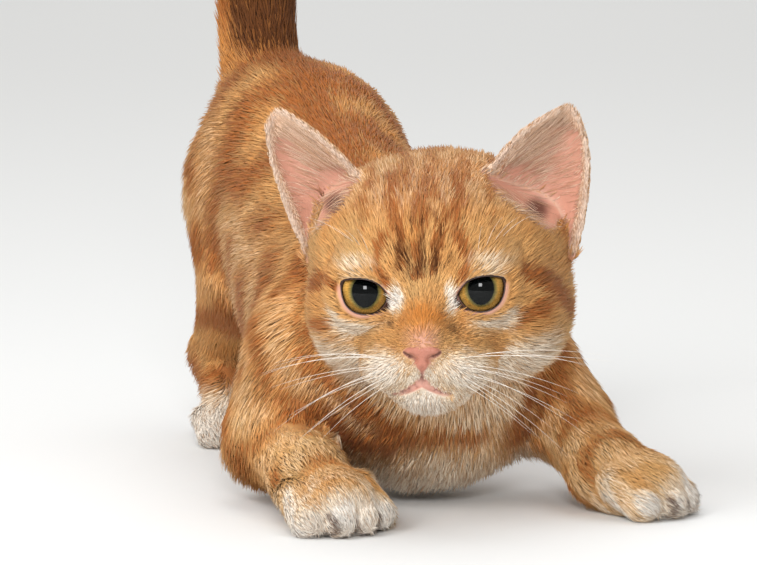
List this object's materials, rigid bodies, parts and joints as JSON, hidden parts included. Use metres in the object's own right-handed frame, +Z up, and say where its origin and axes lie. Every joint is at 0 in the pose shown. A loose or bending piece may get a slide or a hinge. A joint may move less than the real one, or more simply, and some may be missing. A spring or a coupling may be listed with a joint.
{
  "type": "munchkin cat",
  "caption": "Orange tabby munchkin kitten crouched as if to pounce: chest down between splayed forelegs, rump and tail raised, head turned to its right.",
  "frame": {"origin": "on the floor, under the middle of the cat's box", "axes": "+X to the cat's left, -Y where its body points, +Y towards the tail, +Z up"},
  "size_m": [0.1429, 0.2623, 0.264],
  "materials": {
    "coat": "soft short orange tabby fur",
    "pale_coat": "soft short cream fur",
    "ear": "thin pink skin with short fur behind",
    "nose_leather": "matt pebbled pink skin",
    "eye": "wet clear cornea over an amber iris"
  },
  "bodies": {
    "root": {"head": "coat", "neck": "coat", "chest": "coat", "belly": "coat", "rump": "coat", "upper_arm_right": "coat", "forearm_right": "coat", "upper_arm_left": "coat", "forearm_left": "coat", "thigh_right": "coat", "shank_right": "coat", "thigh_left": "coat", "shank_left": "coat", "tail_base": "coat", "tail_middle": "coat", "tail_tip": "coat", "forepaw_right": "pale_coat", "forepaw_left": "pale_coat", "hind_paw_right": "pale_coat", "hind_paw_left": "pale_coat", "ear_right": "ear", "ear_left": "ear", "nose": "nose_leather", "eye_right": "eye", "eye_left": "eye"}
  },
  "joints": []
}
